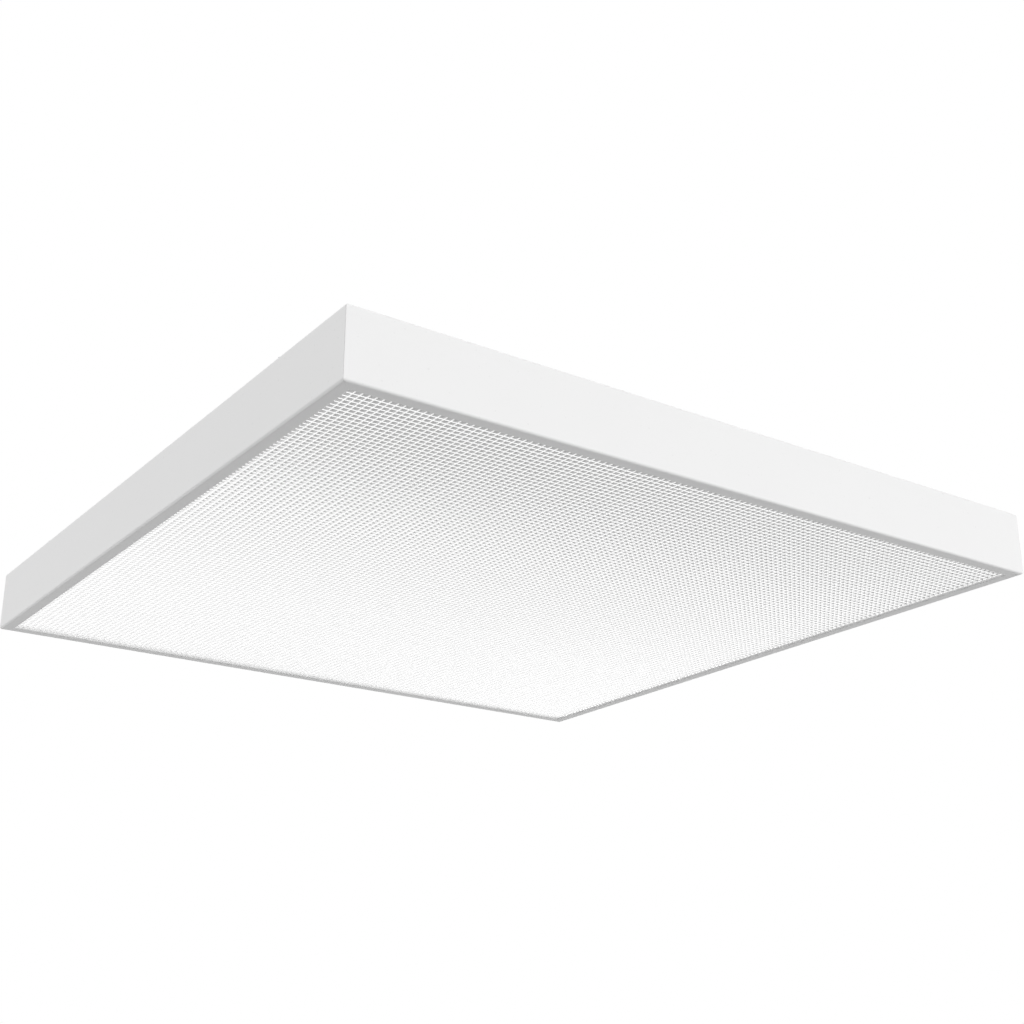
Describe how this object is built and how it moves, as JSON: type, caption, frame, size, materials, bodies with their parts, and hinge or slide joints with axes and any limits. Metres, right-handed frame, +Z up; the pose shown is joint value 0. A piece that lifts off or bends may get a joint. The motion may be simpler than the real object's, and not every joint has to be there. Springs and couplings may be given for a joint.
{
  "type": "recessed troffer light",
  "caption": "Square recessed ceiling light: folded white steel frame, prismatic lens on an inward lip, hinged wiring cover and swing-out grid clips on the back.",
  "frame": {"origin": "centre of the underside of the lip, on the plane that rests on the ceiling grid", "axes": "+Z up into the ceiling void, away from the lens; X and Y square to the sides; the access hinge is towards +X of the middle and its pin runs along Y"},
  "size_m": [0.595, 0.595, 0.0553],
  "materials": {
    "white_paint": "white powder coat, fine and smooth",
    "prism_lens": "clear acrylic with a pressed prism pattern, backed by a white film",
    "diffuser": "translucent white film",
    "foam": "closed-cell white foam",
    "reflector_white": "high-reflectance matt white",
    "board_white": "white solder mask",
    "chip_yellow": "phosphor-filled silicone",
    "plug_white": "moulded off-white",
    "lever_orange": "moulded orange",
    "zinc_steel": "bright zinc plate",
    "driver_case": "plain aluminium sheet",
    "circuit_green": "green solder mask",
    "component_dark": "moulded black",
    "copper": "tinned copper alloy",
    "rubber_black": "soft black rubber",
    "wire_brown": "brown insulation",
    "wire_blue": "blue insulation",
    "wire_earth_green": "green and yellow insulation",
    "wire_red": "red insulation",
    "wire_black": "black insulation",
    "wire_white": "white insulation"
  },
  "bodies": {
    "housing": {"frame_left": "white_paint", "frame_front": "white_paint", "frame_right": "white_paint", "frame_rear": "white_paint", "corner_angle_1": "white_paint", "corner_angle_2": "white_paint", "corner_angle_3": "white_paint", "corner_angle_4": "white_paint", "back_panel": "white_paint", "hinge_leaf": "white_paint", "prismatic_lens": "prism_lens", "diffuser_film": "diffuser", "rim_gasket": "foam", "reflector_tray": "reflector_white", "led_board_1": "board_white", "led_board_2": "board_white", "led_board_3": "board_white", "led_board_4": "board_white", "led_board_5": "board_white", "led_board_6": "board_white", "led_chips": "chip_yellow", "board_plugs": "plug_white", "board_rivets": "plug_white", "driver_input_cap": "plug_white", "driver_output_cap": "plug_white", "terminal_block": "plug_white", "hinge_pin": "zinc_steel", "cover_nut": "zinc_steel", "panel_screws": "zinc_steel", "post_screws": "zinc_steel", "driver_screws": "zinc_steel", "tray_posts": "zinc_steel", "clip_rivets": "zinc_steel", "earth_stud": "zinc_steel", "earth_nut": "zinc_steel", "driver_base": "driver_case", "driver_cover": "driver_case", "driver_board": "circuit_green", "driver_transformer": "component_dark", "driver_capacitors": "component_dark", "contact_bars": "copper", "earth_lug": "copper", "cable_gland": "rubber_black", "tray_bush": "rubber_black", "wire_line": "wire_brown", "wire_neutral": "wire_blue", "wire_earth": "wire_earth_green", "wire_led_plus": "wire_red", "wire_led_minus": "wire_black", "board_links": "wire_white"},
    "cover": {"access_cover": "white_paint", "cover_screw": "zinc_steel"},
    "lever_1": {"terminal_lever_1": "lever_orange"},
    "lever_2": {"terminal_lever_2": "lever_orange"},
    "lever_3": {"terminal_lever_3": "lever_orange"},
    "clip_1": {"grid_clip_1": "zinc_steel"},
    "clip_2": {"grid_clip_2": "zinc_steel"},
    "clip_3": {"grid_clip_3": "zinc_steel"},
    "clip_4": {"grid_clip_4": "zinc_steel"}
  },
  "joints": [
    {"name": "access_cover_hinge", "type": "hinge", "parent": "housing", "child": "cover", "pos_m": [0.081, 0, 0.05251], "axis": [0, -1, 0], "range_deg": [0, 175]},
    {"name": "terminal_lever_1_pivot", "type": "hinge", "parent": "housing", "child": "lever_1", "pos_m": [0.164, -0.012, 0.0364], "axis": [0, 1, 0], "range_deg": [0, 90]},
    {"name": "terminal_lever_2_pivot", "type": "hinge", "parent": "housing", "child": "lever_2", "pos_m": [0.164, 0, 0.0364], "axis": [0, 1, 0], "range_deg": [0, 90]},
    {"name": "terminal_lever_3_pivot", "type": "hinge", "parent": "housing", "child": "lever_3", "pos_m": [0.164, 0.012, 0.0364], "axis": [0, 1, 0], "range_deg": [0, 90]},
    {"name": "grid_clip_1_pivot", "type": "hinge", "parent": "housing", "child": "clip_1", "pos_m": [-0.2875, 0.24, 0.051], "axis": [0, 0, -1], "range_deg": [0, 90]},
    {"name": "grid_clip_2_pivot", "type": "hinge", "parent": "housing", "child": "clip_2", "pos_m": [-0.2875, -0.24, 0.051], "axis": [0, 0, 1], "range_deg": [0, 90]},
    {"name": "grid_clip_3_pivot", "type": "hinge", "parent": "housing", "child": "clip_3", "pos_m": [0.2875, -0.24, 0.051], "axis": [0, 0, -1], "range_deg": [0, 90]},
    {"name": "grid_clip_4_pivot", "type": "hinge", "parent": "housing", "child": "clip_4", "pos_m": [0.2875, 0.24, 0.051], "axis": [0, 0, 1], "range_deg": [0, 90]}
  ]
}
